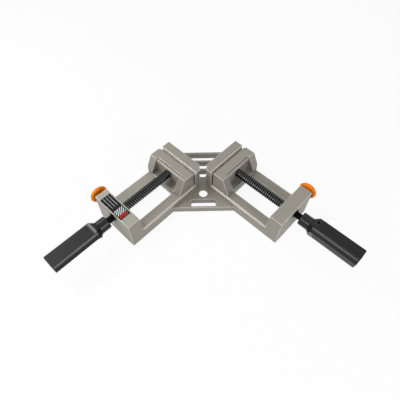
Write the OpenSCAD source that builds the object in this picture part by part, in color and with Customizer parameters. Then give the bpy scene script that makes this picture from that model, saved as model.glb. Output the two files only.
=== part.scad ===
// Right-angle corner clamp with two quick-release screws, millimetres.
// The clamping corner, where the two fixed jaw faces meet, is the origin at bench level.
// The right arm runs along +X and its jaws along +Y. The left arm is its mirror image.

/* [Body casting] */
// Height of the jaws above the bench
jaw_h = 45.5; // [42:0.5:60]
// Width of each arm across its two rails
arm_w = 67.8; // [60:0.2:90]
// Distance from the clamping corner to the near side of each arm
corner_gap = 15.3; // [13:0.1:20]
// Thickness of each fixed jaw
fixed_jaw_t = 15.4; // [12:0.1:20]
// Gap between the inner ends of the two fixed jaws
jaw_end_gap = 9.4; // [6:0.2:14]
// Height of the rail tops above the bench
rail_h = 17.7; // [16:0.1:20]
// Width of the window between the two rails
window_w = 38.4; // [30:0.2:42]
// Thickness of the rail ledges that hold the movable jaw down
ledge_t = 7.7; // [5:0.1:8.5]
// Thickness of the side walls below the ledges
side_wall = 5; // [3:0.2:8]
// Thickness of the other cast walls
cast_wall = 3; // [2:0.1:4]
// Chamfer along the outer top edges of the rails
rail_chamfer = 1.6; // [0.5:0.1:3]
// Bevel along the top front edge of each fixed jaw
jaw_bevel = 2.4; // [0.5:0.1:3]
// Chamfer on the outer front corner of every jaw
jaw_corner = 3; // [1:0.1:5]

/* [Centre plate] */
// Height of the centre plate above the bench
plate_h = 10; // [7:0.5:13]
// Thickness of the plate over its hollow underside
plate_skin = 2; // [1.5:0.1:4]
// Distance from the corner to the plate's front edge
plate_front = 20.5; // [19:0.1:26]
// Distance from the corner to the plate's rear edge
plate_back = 79.3; // [77:0.1:82]
// Number of bench slots between the fixed jaws
slot_count = 3; // [1:1:3]
// Width of each bench slot
slot_w = 12.1; // [8:0.1:12.5]
// Width of the bars between the bench slots
bar_w = 3.6; // [2.5:0.1:4]
// Distance from the back of a fixed jaw to the ends of the slots
slot_inset = 5.3; // [4:0.1:7]
// Length of the front slot
front_slot_l = 39.6; // [30:0.2:42]
// Width of the front slot
front_slot_w = 11.2; // [8:0.1:12]
// Length of the front slot's pointed ends
front_slot_tip = 3.9; // [2:0.1:6]
// Width of the bar in front of the front slot
front_bar = 2.4; // [1.8:0.1:4]
// Wall round the front slot
slot_wall = 2.5; // [1.5:0.1:3]
// Diameter of the bench hole
bench_hole_d = 12.2; // [8:0.1:13]
// Distance of the bench hole behind the clamping corner
bench_hole_back = 3.1; // [2:0.1:5]

/* [End block] */
// Distance from the fixed jaw face to the end block
block_u = 96.3; // [80:0.1:140]
// Thickness of the end block at its foot
block_t = 20.3; // [19:0.1:26]
// Height of the end block above the bench
block_h = 46.3; // [46:0.1:60]
// Lean of the end block's faces over their height
block_draft = 1.3; // [0:0.1:2]
// Bevel along the end block's top edge above the button
block_bevel = 1.5; // [0.5:0.1:3]
// Depth of the hollow under the end block
block_core_h = 13; // [8:0.5:18]
// Radial clearance of the screw in the end block
screw_clear = 0.6; // [0.3:0.1:1.5]

/* [Movable jaw] */
// Gap between the jaws as the clamp is shown
rest_gap = 1.5; // [1:0.1:10]
// Thickness of the movable jaw at its top
jaw_top_t = 17.2; // [15:0.1:20]
// Thickness of the movable jaw at its foot
jaw_base_t = 28.1; // [26:0.1:32]
// Bevel along the top front edge of each movable jaw
jaw_lip = 0.8; // [0.3:0.1:2]
// Height of the foot of the sloping rear face
slope_foot_h = 25.6; // [23:0.1:30]
// Lean of the upright foot below the sloping rear face
foot_draft = 0.75; // [0:0.05:1.5]
// Set-back of the movable jaw's inner end from the arm's side
jaw_inset = 1.7; // [0.5:0.1:4]
// Overhang of the movable jaw's outer end past the arm
jaw_overhang = 0.9; // [0:0.1:3]
// Width of the two solid cheeks beside the rear pocket
cheek_w = 11.2; // [8:0.1:14]
// Thickness of the pocket floor above the rails
floor_t = 3; // [2:0.1:5]
// Width of the stepped bevel along the pocket's top edge
pocket_bevel = 3.9; // [3:0.1:5]
// Depth of each of the two steps of that bevel
pocket_step = 1.7; // [1:0.1:2.5]
// Width of the ledge between those two steps
pocket_ledge = 1.25; // [0.3:0.05:1.4]
// Height of the groove across the jaw face above the bench
face_groove_h = 32; // [28:0.5:38]
// Width of the groove across the jaw face
face_groove_w = 3; // [1:0.1:5]
// Set-back of the guide tongue from the jaw face
tongue_setback = 5.1; // [4:0.1:8]
// Length of the guide tongue along the screw
tongue_l = 22; // [16:0.2:22.5]
// Clearance of the sliding faces
slide_gap = 0.3; // [0.1:0.05:0.6]

/* [Keeper] */
// Thickness of the keeper plate
keeper_t = 4.5; // [3:0.1:5]
// Gap between the keeper and the side walls
keeper_gap = 1; // [0.5:0.1:3]
// Diameter of the keeper screws
keeper_screw_d = 4; // [3:0.1:5]
// Length of the keeper screws below their heads
keeper_screw_l = 14; // [10:0.5:18]
// Diameter of the keeper screw heads
keeper_head_d = 7.6; // [6:0.1:10]
// Height of the keeper screw heads
keeper_head_h = 2.6; // [2:0.1:3.5]
// Distance between the two keeper screws
keeper_pitch = 26; // [18:0.5:30]

/* [Lead screw] */
// Outside diameter of the thread
screw_d = 12; // [10:0.1:13]
// Height of the screw's axis above the bench
screw_h = 33.8; // [33.5:0.1:34]
// Diameter of the journal that turns in the movable jaw
journal_d = 9; // [7:0.1:10]
// Length of the journal
journal_l = 12; // [9:0.1:13]
// Depth of the retaining groove in the journal
groove_depth = 1.1; // [0.8:0.1:1.5]
// Diameter of the pin that retains the journal
journal_pin_d = 2.4; // [2:0.1:3]
// Diameter of the plain shank that carries the handle
shank_d = 8.5; // [7:0.1:9.5]
// Radial clearance of turning and sliding fits
run_fit = 0.05; // [0.02:0.01:0.1]
// Radial clearance of parts that are fixed together
fix_fit = 0.02; // [0.01:0.01:0.05]

/* [Handle] */
// Distance from the end block to the handle
handle_gap = 7.9; // [5:0.1:20]
// Diameter of the handle's neck
neck_d = 17.5; // [15:0.1:19]
// Length of the handle's neck
neck_l = 13.5; // [8:0.1:25]
// Length of the conical shoulder
shoulder_l = 6; // [3:0.1:12]
// Diameter over the rounded ridges of the grip
grip_d = 27.2; // [24:0.1:34]
// Length of the grip
grip_l = 63; // [45:0.5:100]
// Distance from the axis to each of the three flats
flat_offset = 10.3; // [9.6:0.1:11]
// Radius of the run-out at the neck end of each flat
runout_r = 14; // [6:0.5:20]
// Distance from the neck to the foot of that run-out
runout_u = 10; // [8:0.5:14]
// Chamfer round the ends of the handle
handle_chamfer = 1.2; // [0.5:0.1:2]
// Depth of the shank's socket in the handle
socket_l = 30; // [26:0.5:45]
// Diameter of the pin through the handle
handle_pin_d = 4; // [3:0.1:4.5]
// Distance of the pin from the end of the shoulder
handle_pin_in = 1.5; // [0:0.1:3]
// Depth of the pin's ends below the surface
pin_sink = 0.8; // [0.3:0.1:2]
// Turn of the left handle about its screw
left_handle_turn = 0; // [-60:0.5:60]
// Turn of the right handle about its screw
right_handle_turn = -13.5; // [-60:0.5:60]

/* [Quick release] */
// Diameter of the release button
button_d = 24.6; // [20:0.2:28]
// Thickness of the release button
button_t = 5; // [4:0.1:7]
// Depth of the finger dish in the button
button_dish = 0.8; // [0.3:0.1:1.2]
// Travel of the release button
release_travel = 4; // [3:0.1:5]
// Gap left between the pressed button and the block
button_clear = 0.9; // [0.5:0.1:2]
// Diameter of the stem between the half nut and the button
stem_d = 9; // [7:0.1:9.5]
// Depth of the stem's socket in the button
stem_socket = 3; // [2:0.1:3.4]
// Width of the half nut along the screw
nut_w = 10.4; // [8:0.1:11]
// Height of the half nut
nut_h = 20; // [18:0.1:20.2]
// Wall of the half nut behind its thread
nut_wall = 5.2; // [4:0.1:7]
// Set-back of the half nut's outer end in the block
nut_setback = 2; // [1:0.1:4]
// Diameter of the pin that stops the half nut
stop_pin_d = 3; // [2.5:0.1:4]
// Distance of the stop pin from the screw
stop_pin_v = 21; // [18:0.5:24]
// Depth of the stop pin's slot in the half nut
stop_slot_h = 3.4; // [2.5:0.1:3.4]
// Outside diameter of the return spring
spring_d = 8; // [6:0.1:9]
// Wire diameter of the return spring
wire_d = 1.1; // [0.8:0.1:1.5]
// Number of turns of the return spring
spring_turns = 7; // [4:1:8]
// Clearance round the return spring
spring_clear = 0.6; // [0.3:0.1:1]
// Wall between the spring's bore and the block's near side
spring_wall = 3.8; // [3:0.1:6]

/* [Hidden] */
$fn = 64;

SIDES = ["left", "right"];
PAINT = "#97938a";
STEEL = "#8d8f92";
BLACKED = "#232326";
GRIP = "#1d1d1f";
ORANGE = "#ff7a1a";
EPS = 0.01;
BEYOND = 1;

// Places along the arm (v) and the screw (u)
arm_v0 = corner_gap;
arm_v1 = corner_gap + arm_w;
screw_v = corner_gap + arm_w / 2;
block_end = block_u + block_t;
block_mid = block_u + block_t / 2;
ledge_z = rail_h - ledge_t;
window_v0 = screw_v - window_w / 2;
jaw_v0 = arm_v0 + jaw_inset;
jaw_v1 = arm_v1 + jaw_overhang;
jaw_z0 = rail_h + slide_gap;
floor_z = jaw_z0 + floor_t;
pocket_v0 = jaw_v0 + cheek_w;
pocket_v1 = jaw_v1 - cheek_w;
pocket_u = rest_gap + jaw_top_t;
tongue_u = rest_gap + tongue_setback;
window_u = tongue_setback - slide_gap;
keeper_z1 = ledge_z - slide_gap;
keeper_z0 = keeper_z1 - keeper_t;
keeper_v0 = arm_v0 + side_wall + keeper_gap;
keeper_v1 = arm_v1 - side_wall - keeper_gap;
keeper_u = tongue_u + tongue_l / 2;

// Places along the screw
journal_u = pocket_u - journal_l;
groove_u = journal_u + journal_l / 2;
groove_w = journal_pin_d + 2 * run_fit;
journal_pin_v = screw_v + journal_d / 2 - groove_depth + journal_pin_d / 2 + run_fit;
journal_pin_l = journal_d + 2 * cast_wall;
handle_u = block_end + handle_gap;
handle_l = neck_l + shoulder_l + grip_l;
handle_pin_u = neck_l + shoulder_l + handle_pin_in;
flat_angles = [0, 120, 240];

// Places of the quick release
nut_v0 = screw_v - screw_d / 2 - nut_wall;
nut_v1 = arm_v1 - nut_setback;
nut_z0 = screw_h - nut_h / 2;
pocket_floor_v = nut_v0 - release_travel - button_clear;
spring_v0 = arm_v0 + spring_wall;
button_v = arm_v1 + release_travel + button_clear;
button_dish_r = 2 * button_d;
stop_v = screw_v + stop_pin_v;
stop_z1 = nut_z0 + stop_slot_h - slide_gap;
stop_z0 = block_core_h + slide_gap;

// Mirrors the left arm from the right one across the plane that halves the corner
module arm(side) {
    if (side == "left") mirror([1, 1, 0]) children();
    else children();
}

// Turns to a frame whose Y axis halves the corner and points to the back
module bisector() {
    rotate(45) children();
}

// Extrudes a v, z profile along the screw
module along_u(u, length) {
    translate([u, 0, 0]) rotate([90, 0, 90]) linear_extrude(length) children();
}

// Extrudes a u, z profile along the jaw
module along_v(v, length) {
    translate([0, v + length, 0]) rotate([90, 0, 0]) linear_extrude(length) children();
}

// Stands a shape of revolution on the screw's axis, pointing outwards
module on_screw(u) {
    translate([u, screw_v, screw_h]) rotate([0, 90, 0]) children();
}

// Stands a shape of revolution on the release axis, pointing to the button
module on_release(v) {
    translate([block_mid, v, screw_h]) rotate([-90, 0, 0]) children();
}

// A box from its low corner to its high corner
module span(low, high) {
    translate(low) cube(high - low);
}

// Body casting

module rails() {
    along_u(-fixed_jaw_t, block_u + fixed_jaw_t + cast_wall)
        polygon([
            [arm_v0, 0], [arm_v1, 0],
            [arm_v1, rail_h - rail_chamfer], [arm_v1 - rail_chamfer, rail_h],
            [arm_v0 + rail_chamfer, rail_h], [arm_v0, rail_h - rail_chamfer],
        ]);
}

module fixed_jaw() {
    intersection() {
        linear_extrude(jaw_h)
            polygon([
                [-fixed_jaw_t, arm_v0], [0, arm_v0], [0, arm_v1 - jaw_corner],
                [-jaw_corner, arm_v1], [-fixed_jaw_t, arm_v1],
            ]);
        along_v(arm_v0, arm_w)
            polygon([
                [-fixed_jaw_t, 0], [0, 0], [0, jaw_h - jaw_bevel],
                [-jaw_bevel, jaw_h], [-fixed_jaw_t, jaw_h],
            ]);
    }
}

module end_block() {
    lean = block_draft / 2;
    intersection() {
        along_v(arm_v0, arm_w)
            polygon([
                [block_u, 0], [block_end, 0],
                [block_end - block_draft, block_h], [block_u + block_draft, block_h],
                [block_u, rail_h],
            ]);
        along_u(block_u, block_t)
            polygon([
                [arm_v0, 0], [arm_v1, 0], [arm_v1, rail_h],
                [arm_v1 - lean, block_h - block_bevel], [arm_v1 - lean - block_bevel, block_h],
                [arm_v0 + lean, block_h], [arm_v0, rail_h],
            ]);
    }
}

// Hollows from below: the keeper's run, the fixed jaw's cores and the end block's cores
module arm_hollows() {
    span([window_u, arm_v0 + side_wall, -BEYOND], [block_u, arm_v1 - side_wall, ledge_z]);
    span([window_u, window_v0, -BEYOND], [block_u, window_v0 + window_w, rail_h + EPS]);
    jaw_core_v0 = arm_v0 + fixed_jaw_t;
    jaw_core_l = (arm_v1 - cast_wall - jaw_core_v0 - cast_wall) / 2;
    for (i = [0, 1])
        translate([-fixed_jaw_t + cast_wall, jaw_core_v0 + i * (jaw_core_l + cast_wall), -BEYOND])
            cube([fixed_jaw_t - 2 * cast_wall, jaw_core_l, jaw_h - cast_wall + BEYOND]);
    block_core_l = (arm_w - 3 * cast_wall) / 2;
    for (i = [0, 1])
        translate([block_u + cast_wall, arm_v0 + cast_wall + i * (block_core_l + cast_wall), -BEYOND])
            cube([block_t - 2 * cast_wall, block_core_l, block_core_h + BEYOND]);
}

// Seats in the end block: the screw's hole, the half nut's slide, the spring's bore and the stop pin's hole
module block_seats() {
    on_screw(block_u - BEYOND) cylinder(d = screw_d + 2 * screw_clear, h = block_t + 2 * BEYOND);
    span(
        [block_mid - nut_w / 2 - slide_gap, pocket_floor_v, nut_z0 - slide_gap],
        [block_mid + nut_w / 2 + slide_gap, arm_v1 + BEYOND, nut_z0 + nut_h + slide_gap]
    );
    on_release(spring_v0) cylinder(d = spring_d + 2 * spring_clear, h = pocket_floor_v - spring_v0 + BEYOND);
    translate([block_mid, stop_v, block_core_h - BEYOND])
        cylinder(d = stop_pin_d + 2 * fix_fit, h = nut_z0 - block_core_h + BEYOND);
}

// Outline of the plate between the backs of the fixed jaws, set in by a margin
module plate_rear(margin_jaw, margin_end) {
    near = fixed_jaw_t + margin_jaw;
    far = arm_v1 - margin_end;
    back = plate_back * sqrt(2) - far;
    polygon([[-near, near], [-near, far], [-back, far], [-far, back], [-far, near]]);
}

// Outline of the plate between the arms in front of the corner
module plate_nose(margin_arm, front) {
    apex = (arm_v0 + margin_arm) * sqrt(2);
    polygon([[0, apex], [-apex - front, -front], [apex + front, -front]]);
}

module front_slot(grow) {
    half_l = front_slot_l / 2 + grow;
    half_w = front_slot_w / 2 + grow;
    tip = front_slot_tip * half_w / (front_slot_w / 2);
    translate([0, front_bar + front_slot_w / 2 - plate_front])
        polygon([
            [-half_l, 0], [tip - half_l, -half_w], [half_l - tip, -half_w],
            [half_l, 0], [half_l - tip, half_w], [tip - half_l, half_w],
        ]);
}

module centre_plate() {
    half = jaw_end_gap / 2 + BEYOND;
    linear_extrude(plate_h) {
        plate_rear(-BEYOND, 0);
        bisector() {
            plate_nose(BEYOND, plate_front);
            translate([-half, arm_v0 * sqrt(2) - half])
                square([2 * half, (fixed_jaw_t - arm_v0) * sqrt(2) + 2 * half]);
        }
    }
}

// Gap between the inner ends of the two fixed jaws, which the plate closes below
module corner_gap() {
    bisector() translate([-jaw_end_gap / 2, 0, -BEYOND]) cube([jaw_end_gap, arm_v1, jaw_h + 2 * BEYOND]);
}

module plate_cuts() {
    translate([0, 0, -BEYOND]) linear_extrude(plate_h + 2 * BEYOND)
        intersection() {
            plate_rear(slot_inset, side_wall);
            bisector()
                for (i = [0 : slot_count - 1])
                    translate([-arm_v1, plate_back - bar_w - slot_w - i * (slot_w + bar_w)])
                        square([2 * arm_v1, slot_w]);
        }
    bisector() {
        translate([0, 0, -BEYOND]) linear_extrude(plate_h + 2 * BEYOND) front_slot(0);
        translate([0, 0, -BEYOND]) linear_extrude(plate_h - plate_skin + BEYOND)
            difference() {
                plate_nose(-cast_wall / 2, plate_front - front_bar);
                front_slot(slot_wall);
                translate([-arm_v1, bench_hole_back + bench_hole_d])
                    square(2 * arm_v1);
            }
        translate([0, bench_hole_back, 0]) cylinder(d = bench_hole_d, h = plate_h + BEYOND);
    }
}

module base_casting() {
    color(PAINT) difference() {
        union() {
            for (side = SIDES)
                arm(side) {
                    difference() {
                        union() {
                            rails();
                            fixed_jaw();
                        }
                        corner_gap();
                    }
                    end_block();
                }
            centre_plate();
        }
        for (side = SIDES)
            arm(side) {
                arm_hollows();
                block_seats();
            }
        plate_cuts();
    }
}

// Movable jaw

module jaw_blank() {
    slope_u = rest_gap + jaw_base_t - foot_draft;
    intersection() {
        along_v(jaw_v0, jaw_v1 - jaw_v0)
            polygon([
                [rest_gap, jaw_z0], [rest_gap + jaw_base_t, jaw_z0], [slope_u, slope_foot_h],
                [pocket_u, jaw_h], [rest_gap + jaw_lip, jaw_h], [rest_gap, jaw_h - jaw_lip],
            ]);
        linear_extrude(jaw_h)
            polygon([
                [rest_gap + jaw_base_t, jaw_v0], [rest_gap, jaw_v0],
                [rest_gap, jaw_v1 - jaw_corner], [rest_gap + jaw_corner, jaw_v1],
                [rest_gap + jaw_base_t - jaw_corner, jaw_v1], [rest_gap + jaw_base_t, jaw_v1 - jaw_corner],
            ]);
    }
}

// Rear pocket, open to the top and the back, with a stepped bevel along its top edge
module jaw_pocket() {
    half = pocket_bevel / 2;
    along_v(pocket_v0, pocket_v1 - pocket_v0)
        polygon([
            [pocket_u, floor_z], [rest_gap + jaw_base_t + BEYOND, floor_z],
            [rest_gap + jaw_base_t + BEYOND, jaw_h + BEYOND], [pocket_u - pocket_bevel, jaw_h + BEYOND],
            [pocket_u - pocket_bevel, jaw_h], [pocket_u - half - pocket_ledge, jaw_h - pocket_step],
            [pocket_u - half, jaw_h - pocket_step], [pocket_u, jaw_h - 2 * pocket_step],
        ]);
}

// Groove across the jaw face that seats round work
module face_groove() {
    depth = face_groove_w / 2;
    along_v(jaw_v0 - BEYOND, jaw_v1 - jaw_v0 + 2 * BEYOND)
        polygon([
            [rest_gap - EPS, face_groove_h - depth], [rest_gap + depth, face_groove_h],
            [rest_gap - EPS, face_groove_h + depth],
        ]);
}

module movable_jaw() {
    color(PAINT) difference() {
        union() {
            jaw_blank();
            span(
                [tongue_u, window_v0 + slide_gap, keeper_z1],
                [tongue_u + tongue_l, window_v0 + window_w - slide_gap, floor_z - EPS]
            );
        }
        jaw_pocket();
        face_groove();
        on_screw(journal_u - slide_gap) cylinder(d = journal_d + 2 * run_fit, h = journal_l + BEYOND);
        translate([groove_u, journal_pin_v, keeper_z1 - BEYOND])
            cylinder(d = journal_pin_d + 2 * fix_fit, h = screw_h + journal_pin_l / 2 - keeper_z1 + BEYOND);
        keeper_screw_places() translate([0, 0, keeper_z0])
            cylinder(d = keeper_screw_d + 2 * fix_fit, h = keeper_screw_l + slide_gap);
    }
}

// Keeper plate and its screws, under the rail ledges

module keeper_screw_places() {
    for (sign = [-1, 1])
        translate([keeper_u, screw_v + sign * keeper_pitch / 2, 0]) children();
}

module jaw_keeper() {
    color(STEEL) difference() {
        span([tongue_u, keeper_v0, keeper_z0], [tongue_u + tongue_l, keeper_v1, keeper_z1]);
        keeper_screw_places() translate([0, 0, keeper_z0 - BEYOND])
            cylinder(d = keeper_screw_d + 2 * fix_fit, h = keeper_t + 2 * BEYOND);
    }
}

module keeper_screws() {
    color(STEEL) keeper_screw_places() {
        translate([0, 0, keeper_z0]) cylinder(d = keeper_screw_d, h = keeper_screw_l);
        translate([0, 0, keeper_z0 - keeper_head_h]) cylinder(d = keeper_head_d, h = keeper_head_h);
    }
}

module journal_pin() {
    color(STEEL) translate([groove_u, journal_pin_v, screw_h - journal_pin_l / 2])
        cylinder(d = journal_pin_d, h = journal_pin_l);
}

// Lead screw: journal with its groove, thread and plain shank

module lead_screw() {
    thread_u = pocket_u + slide_gap;
    shank_end = handle_u + socket_l - slide_gap;
    color(BLACKED) difference() {
        union() {
            on_screw(journal_u) cylinder(d = journal_d, h = thread_u - journal_u);
            on_screw(thread_u) cylinder(d = screw_d, h = block_end - thread_u);
            on_screw(block_end - EPS) cylinder(d = shank_d, h = shank_end - block_end);
        }
        on_screw(groove_u - groove_w / 2) difference() {
            cylinder(d = journal_d + BEYOND, h = groove_w);
            cylinder(d = journal_d - 2 * groove_depth, h = groove_w);
        }
        children();
    }
}

// Handle: a round neck and a grip with three flats between rounded ridges

module handle_pin_hole(turn, diameter) {
    on_screw(handle_u + handle_pin_u) rotate([0, 0, turn]) rotate([0, -90, 0])
        translate([0, 0, -grip_d]) cylinder(d = diameter, h = 2 * grip_d);
}

// Cutter of one flat, whose neck end runs out in an arc
module flat_cutter() {
    translate([-flat_offset, grip_d, neck_l + runout_u]) rotate([90, 0, 0]) linear_extrude(2 * grip_d) {
        translate([-grip_d, 0]) square([grip_d, handle_l]);
        intersection() {
            translate([-runout_r, 0]) circle(runout_r);
            translate([-grip_d, -runout_u]) square([grip_d, runout_u + EPS]);
        }
    }
}

module handle(turn) {
    shoulder_u = neck_l + shoulder_l;
    color(GRIP) difference() {
        on_screw(handle_u) difference() {
            rotate_extrude()
                polygon([
                    [0, 0], [neck_d / 2 - handle_chamfer, 0], [neck_d / 2, handle_chamfer],
                    [neck_d / 2, neck_l], [grip_d / 2, shoulder_u],
                    [grip_d / 2, handle_l - handle_chamfer], [grip_d / 2 - handle_chamfer, handle_l],
                    [0, handle_l],
                ]);
            translate([0, 0, -BEYOND]) cylinder(d = shank_d + 2 * fix_fit, h = socket_l + BEYOND);
            for (angle = flat_angles)
                rotate(angle + turn) flat_cutter();
        }
        handle_pin_hole(turn, handle_pin_d + 2 * fix_fit);
    }
}

module handle_pin(turn) {
    pin_l = flat_offset + grip_d / 2 - 2 * pin_sink;
    color(BLACKED) on_screw(handle_u + handle_pin_u) rotate([0, 0, turn]) rotate([0, -90, 0])
        translate([0, 0, pin_sink - grip_d / 2]) cylinder(d = handle_pin_d, h = pin_l);
}

// Quick release: a sprung half nut that slides across the screw, with its button

module half_nut() {
    slot_half = stop_pin_d / 2 + slide_gap;
    color(STEEL) difference() {
        union() {
            span([block_mid - nut_w / 2, nut_v0, nut_z0], [block_mid + nut_w / 2, nut_v1, nut_z0 + nut_h]);
            on_release(nut_v1 - EPS) cylinder(d = stem_d, h = button_v + stem_socket - nut_v1);
        }
        on_screw(block_mid - nut_w) cylinder(d = screw_d + 2 * run_fit, h = 2 * nut_w);
        translate([0, release_travel + slide_gap, 0]) on_screw(block_mid - nut_w)
            cylinder(d = screw_d + 2 * slide_gap, h = 2 * nut_w);
        span(
            [block_mid - nut_w, screw_v, screw_h - screw_d / 2 - run_fit],
            [block_mid + nut_w, screw_v + release_travel + slide_gap, screw_h + screw_d / 2 + run_fit]
        );
        span(
            [block_mid - slot_half, stop_v - slot_half, nut_z0 - BEYOND],
            [block_mid + slot_half, stop_v + slot_half + release_travel, nut_z0 + stop_slot_h]
        );
    }
}

module release_button() {
    rim = button_t / 2;
    color(ORANGE) difference() {
        on_release(button_v) rotate_extrude() {
            square([button_d / 2 - rim, button_t]);
            intersection() {
                translate([button_d / 2 - rim, rim]) circle(rim);
                translate([button_d / 2 - rim - EPS, 0]) square(button_t);
            }
        }
        on_release(button_v + button_t + button_dish_r - button_dish) sphere(button_dish_r);
        on_release(button_v - BEYOND) cylinder(d = stem_d + 2 * fix_fit, h = stem_socket + fix_fit + BEYOND);
    }
}

module stop_pin() {
    color(STEEL) translate([block_mid, stop_v, stop_z0]) cylinder(d = stop_pin_d, h = stop_z1 - stop_z0);
}

// Return spring: a wire swept along a helix, as rings of points joined by faces

WIRE_SIDES = 8;
RINGS_PER_TURN = 14;

function spring_ring(place, lift) = [
    for (i = [0 : WIRE_SIDES - 1])
        let (
            around = 360 * place,
            across = 360 * i / WIRE_SIDES,
            radius = (spring_d - wire_d) / 2 + wire_d / 2 * cos(across)
        )
        [radius * cos(around), radius * sin(around), lift + wire_d / 2 * sin(across)]
];

module release_spring() {
    rings = spring_turns * RINGS_PER_TURN;
    rise = nut_v0 - spring_v0 - wire_d - 2 * run_fit;
    points = [
        for (k = [0 : rings])
            each spring_ring(k / RINGS_PER_TURN, wire_d / 2 + run_fit + rise * k / rings)
    ];
    walls = [
        for (k = [0 : rings - 1], i = [0 : WIRE_SIDES - 1])
            let (next = (i + 1) % WIRE_SIDES)
            each [
                [k * WIRE_SIDES + i, k * WIRE_SIDES + next, (k + 1) * WIRE_SIDES + i],
                [k * WIRE_SIDES + next, (k + 1) * WIRE_SIDES + next, (k + 1) * WIRE_SIDES + i],
            ]
    ];
    first_end = [for (i = [WIRE_SIDES - 1 : -1 : 0]) i];
    last_end = [for (i = [0 : WIRE_SIDES - 1]) rings * WIRE_SIDES + i];
    color(STEEL) on_release(spring_v0) polyhedron(points, concat(walls, [first_end, last_end]));
}

base_casting();
arm("left") movable_jaw();  // left_movable_jaw
arm("right") movable_jaw();  // right_movable_jaw
arm("left") jaw_keeper();  // left_jaw_keeper
arm("right") jaw_keeper();  // right_jaw_keeper
arm("left") keeper_screws();  // left_keeper_screws
arm("right") keeper_screws();  // right_keeper_screws
arm("left") journal_pin();  // left_journal_pin
arm("right") journal_pin();  // right_journal_pin
arm("left") lead_screw() handle_pin_hole(left_handle_turn, handle_pin_d + 2 * fix_fit);  // left_lead_screw
arm("right") lead_screw() handle_pin_hole(right_handle_turn, handle_pin_d + 2 * fix_fit);  // right_lead_screw
arm("left") handle(left_handle_turn);  // left_handle
arm("right") handle(right_handle_turn);  // right_handle
arm("left") handle_pin(left_handle_turn);  // left_handle_pin
arm("right") handle_pin(right_handle_turn);  // right_handle_pin
arm("left") half_nut();  // left_half_nut
arm("right") half_nut();  // right_half_nut
arm("left") release_button();  // left_release_button
arm("right") release_button();  // right_release_button
arm("left") stop_pin();  // left_stop_pin
arm("right") stop_pin();  // right_stop_pin
arm("left") release_spring();  // left_release_spring
arm("right") release_spring();  // right_release_spring
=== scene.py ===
"""Looks of a right-angle corner clamp, built round its CAD frame and laid out as a Blender add-on.

Lengths are metres in the frame of the CAD model: the clamping corner is the origin at bench level,
the right arm's screw runs out along +X and the left arm's along -Y.
"""

import math
from contextlib import contextmanager

import bmesh
import bpy
from bpy.props import FloatProperty, FloatVectorProperty, PointerProperty
from bpy.types import Operator, Panel, PropertyGroup
from mathutils import Matrix, Vector


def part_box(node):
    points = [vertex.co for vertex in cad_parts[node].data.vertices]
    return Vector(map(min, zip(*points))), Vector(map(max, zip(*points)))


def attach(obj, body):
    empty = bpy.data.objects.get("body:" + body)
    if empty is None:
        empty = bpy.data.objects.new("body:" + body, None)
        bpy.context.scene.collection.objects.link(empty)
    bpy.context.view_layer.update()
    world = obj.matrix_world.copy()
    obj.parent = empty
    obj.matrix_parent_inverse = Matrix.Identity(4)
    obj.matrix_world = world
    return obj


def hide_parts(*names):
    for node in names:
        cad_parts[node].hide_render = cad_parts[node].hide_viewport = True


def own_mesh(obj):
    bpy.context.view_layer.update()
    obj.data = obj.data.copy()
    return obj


bl_info = {
    "name": "Corner clamp",
    "version": (1, 0, 0),
    "blender": (4, 5, 0),
    "location": "View3D > Sidebar > Clamp",
    "description": "Dresses a right-angle corner clamp: castings, screws, grips, buttons and finishes",
    "category": "Object",
}

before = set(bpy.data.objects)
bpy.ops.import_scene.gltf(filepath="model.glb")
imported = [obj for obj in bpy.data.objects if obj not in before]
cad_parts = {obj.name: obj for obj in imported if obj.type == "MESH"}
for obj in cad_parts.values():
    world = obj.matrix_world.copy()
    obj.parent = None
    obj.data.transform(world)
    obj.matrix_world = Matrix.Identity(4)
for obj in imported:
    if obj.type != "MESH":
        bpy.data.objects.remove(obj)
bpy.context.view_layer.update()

SIDES = ("left", "right")
OUTWARDS = {"left": Vector((0, -1, 0)), "right": Vector((1, 0, 0))}
PRESSED = {"left": Vector((1, 0, 0)), "right": Vector((0, -1, 0))}
MM = 0.001
FULL_TURN = 2 * math.pi
MERGE = 2e-6
CUT_MARGIN = 2 * MM
SAME_WAY = 0.999
FLAT_ANGLE = math.radians(0.5)
PLAIN_COAT, PAINTED_HIGHLIGHT_COAT, PAINTED_SHADE_COAT = range(3)
GRIP_FLATS = 3
SENSOR_WIDTH = 36
LAMP_TARGET = Vector((0.03, -0.03, 0.02))
LAMP_DISTANCE = 1.1


# Properties


def length(name, description, default_mm):
    """A length property whose default is given in millimetres"""
    return FloatProperty(
        name=name, description=description, default=default_mm * MM, unit="LENGTH", precision=5
    )


def colour(name, description, default):
    """A linear colour property"""
    return FloatVectorProperty(
        name=name, description=description, default=default, subtype="COLOR", min=0, max=1
    )


def angle(name, description, default_deg):
    """An angle property whose default is given in degrees"""
    return FloatProperty(
        name=name, description=description, default=math.radians(default_deg), subtype="ANGLE"
    )


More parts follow.
